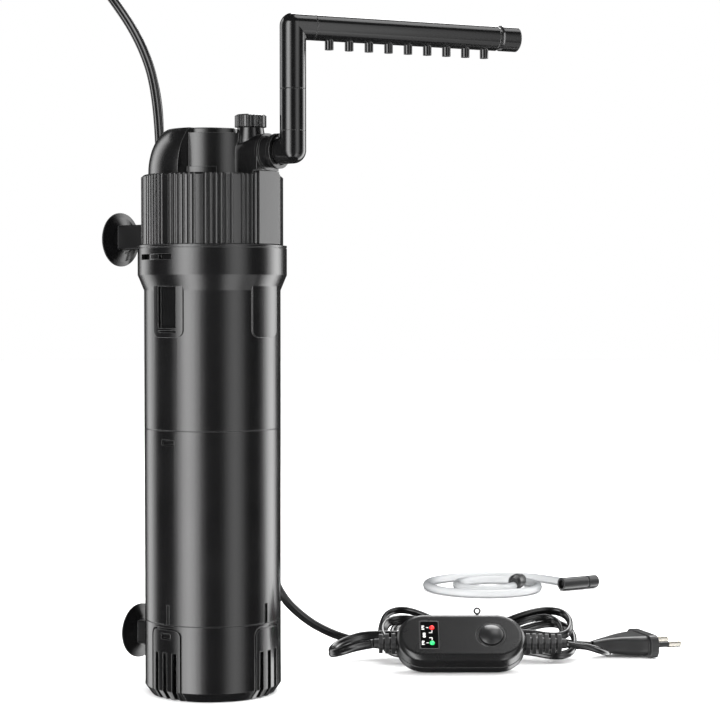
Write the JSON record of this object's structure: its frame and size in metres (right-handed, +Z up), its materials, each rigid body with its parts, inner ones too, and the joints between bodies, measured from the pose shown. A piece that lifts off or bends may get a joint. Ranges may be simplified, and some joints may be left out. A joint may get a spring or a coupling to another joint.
{
  "type": "internal aquarium canister filter",
  "caption": "Submersible two-chamber canister filter with pump head, swivelling spray bar, suction cups, mains lead with controller and an air hose set.",
  "frame": {"origin": "on the barrel's axis at the underside of the intake base", "axes": "+Z up along the barrel's axis, -Y towards the water outlet, +Y towards the suction cups"},
  "size_m": [0.5179, 0.2948, 0.4258],
  "materials": {
    "barrel_black": "semi-matte moulded black plastic with a fine grain",
    "head_black": "satin black plastic",
    "collar_black": "satin-gloss black plastic",
    "bracket_black": "matte black plastic",
    "arm_black": "polished black plastic",
    "cup_rubber": "glossy soft black PVC",
    "seal_rubber": "black nitrile",
    "inner_plastic": "plain dark grey plastic",
    "sponge_foam": "open-cell filter foam",
    "floss": "white filter floss",
    "media_ceramic": "porous fired ceramic",
    "potting_resin": "black potting resin",
    "core_steel": "stacked laminations",
    "coil_copper": "enamelled copper windings",
    "magnet_ferrite": "sintered ferrite",
    "shaft_ceramic": "polished ceramic",
    "case_black": "satin-matte black plastic",
    "button_black": "soft-touch black rubber",
    "board_green": "glass-fibre circuit board",
    "window_gloss": "glossy black label window",
    "led_lens": "tinted lens",
    "relief_black": "flexible black PVC",
    "plug_black": "moulded black PVC",
    "pin_nickel": "nickel-plated brass",
    "screw_steel": "bright steel",
    "lead_black": "glossy black PVC flex",
    "tie_black": "plastic-covered wire",
    "hose_silicone": "translucent white silicone",
    "air_fitting": "satin black plastic"
  },
  "bodies": {
    "pump_head": {"pump_head_shell": "head_black", "head_o_ring": "seal_rubber", "fluted_collar": "collar_black", "top_lid": "head_black", "cord_gland": "relief_black", "stator_core": "core_steel", "stator_coils": "coil_copper", "motor_housing": "potting_resin", "impeller_cover": "inner_plastic", "impeller_shaft": "shaft_ceramic", "shaft_bushes": "seal_rubber", "controller_top_case": "case_black", "controller_bottom_case": "case_black", "controller_screws": "screw_steel", "controller_board": "board_green", "indicator_window": "window_gloss", "indicator_leds": "led_lens", "left_strain_relief": "relief_black", "right_strain_relief": "relief_black", "plug_body": "plug_black", "plug_pins": "pin_nickel", "plug_pin_sleeves": "plug_black", "lead_tube": "lead_black", "lead_left_tube": "lead_black", "lead_right_tube": "lead_black", "lead_plug_tube": "lead_black", "lead_hank": "lead_black", "hank_tie": "tie_black", "air_hose": "hose_silicone", "regulator_body": "air_fitting", "air_venturi": "air_fitting"},
    "canister": {"intake_base": "barrel_black", "lower_barrel": "barrel_black", "upper_barrel": "barrel_black", "barrel_o_ring": "seal_rubber", "lower_media_grid": "inner_plastic", "upper_media_grid": "inner_plastic", "sponge_cartridge": "sponge_foam", "ceramic_rings": "media_ceramic", "floss_pad": "floss", "upper_cup_bracket": "bracket_black", "lower_cup_bracket": "bracket_black", "upper_suction_cup": "cup_rubber", "lower_suction_cup": "cup_rubber"},
    "impeller_rotor": {"rotor_magnet": "magnet_ferrite", "impeller": "inner_plastic"},
    "flow_control": {"flow_knob": "collar_black", "flow_valve": "inner_plastic"},
    "riser": {"lower_elbow": "arm_black", "riser_coupler": "arm_black"},
    "bar_elbow": {"upper_elbow": "arm_black"},
    "spray_bar": {"spray_tube": "arm_black", "spray_end_cap": "arm_black"},
    "power_button": {"controller_button": "button_black"},
    "air_dial": {"regulator_cap": "air_fitting"}
  },
  "joints": [
    {"name": "canister_twist", "type": "hinge", "parent": "pump_head", "child": "canister", "pos_m": [0, 0, 0.2394], "axis": [0, 0, 1], "range_deg": [-12, 12]},
    {"name": "impeller_spin", "type": "hinge", "parent": "pump_head", "child": "impeller_rotor", "pos_m": [0, 0, 0.25], "axis": [0, 0, 1], "continuous": true},
    {"name": "flow_turn", "type": "hinge", "parent": "pump_head", "child": "flow_control", "pos_m": [0, -0.0272, 0.31], "axis": [0, 0, 1], "range_deg": [0, 90]},
    {"name": "riser_roll", "type": "hinge", "parent": "pump_head", "child": "riser", "pos_m": [0, -0.0563, 0.296], "axis": [0, 1, 0], "range_deg": [-90, 90]},
    {"name": "bar_swivel", "type": "hinge", "parent": "riser", "child": "bar_elbow", "pos_m": [0, -0.0563, 0.3286], "axis": [0, 0, 1], "range_deg": [-120, 45]},
    {"name": "bar_roll", "type": "hinge", "parent": "bar_elbow", "child": "spray_bar", "pos_m": [0, -0.0563, 0.362], "axis": [0.866, -0.5, 0], "range_deg": [-90, 90]},
    {"name": "button_press", "type": "slide", "parent": "pump_head", "child": "power_button", "axis": [0.5517, 0.4009, -0.7314], "range_m": [0, 0.0012], "stiffness_N_per_m": 500},
    {"name": "air_dial_turn", "type": "hinge", "parent": "pump_head", "child": "air_dial", "pos_m": [0.4356, 0.0685, 0.00565], "axis": [0.986, 0.1667, 0], "range_deg": [0, 270]}
  ]
}
